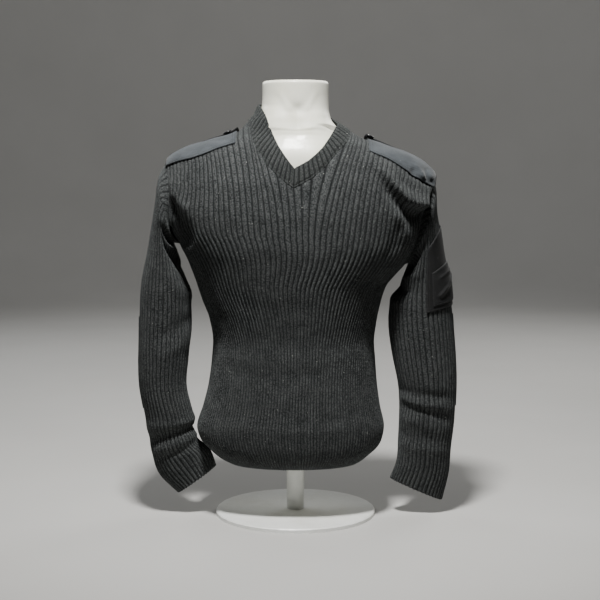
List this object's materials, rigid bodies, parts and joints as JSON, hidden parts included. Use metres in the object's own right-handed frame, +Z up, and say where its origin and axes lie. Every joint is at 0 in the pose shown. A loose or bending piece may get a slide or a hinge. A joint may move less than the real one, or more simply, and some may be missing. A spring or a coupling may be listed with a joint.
{
  "type": "army sweater on a torso dress form",
  "caption": "Rib-knit V-neck army sweater with woven shoulder and elbow patches, shoulder straps and a sleeve pen pocket, worn by a limbless torso form on a stand.",
  "frame": {"origin": "centre of the underside of the stand's round base", "axes": "+Z up along the post, the wearer's front faces -Y, +X at the wearer's left"},
  "size_m": [0.5767, 0.29, 0.779],
  "materials": {
    "rib_knit": "faded black rib-knit wool, matt, with lint",
    "woven_twill": "grey-blue woven twill, matt",
    "dark_twill": "very dark brown woven twill, matt",
    "black_button": "black moulded button, half gloss",
    "white_gloss": "white gloss form, a little yellowed",
    "white_paint": "white painted steel"
  },
  "bodies": {
    "root": {"front": "rib_knit", "back": "rib_knit", "right_sleeve": "rib_knit", "left_sleeve": "rib_knit", "neck_band": "rib_knit", "right_shoulder_patch": "woven_twill", "left_shoulder_patch": "woven_twill", "right_elbow_patch": "woven_twill", "left_elbow_patch": "woven_twill", "right_shoulder_strap": "dark_twill", "left_shoulder_strap": "dark_twill", "sleeve_pocket_base": "dark_twill", "pen_pocket": "dark_twill", "right_strap_button": "black_button", "left_strap_button": "black_button", "torso_form": "white_gloss", "stand_post": "white_paint", "stand_base": "white_paint"}
  },
  "joints": []
}
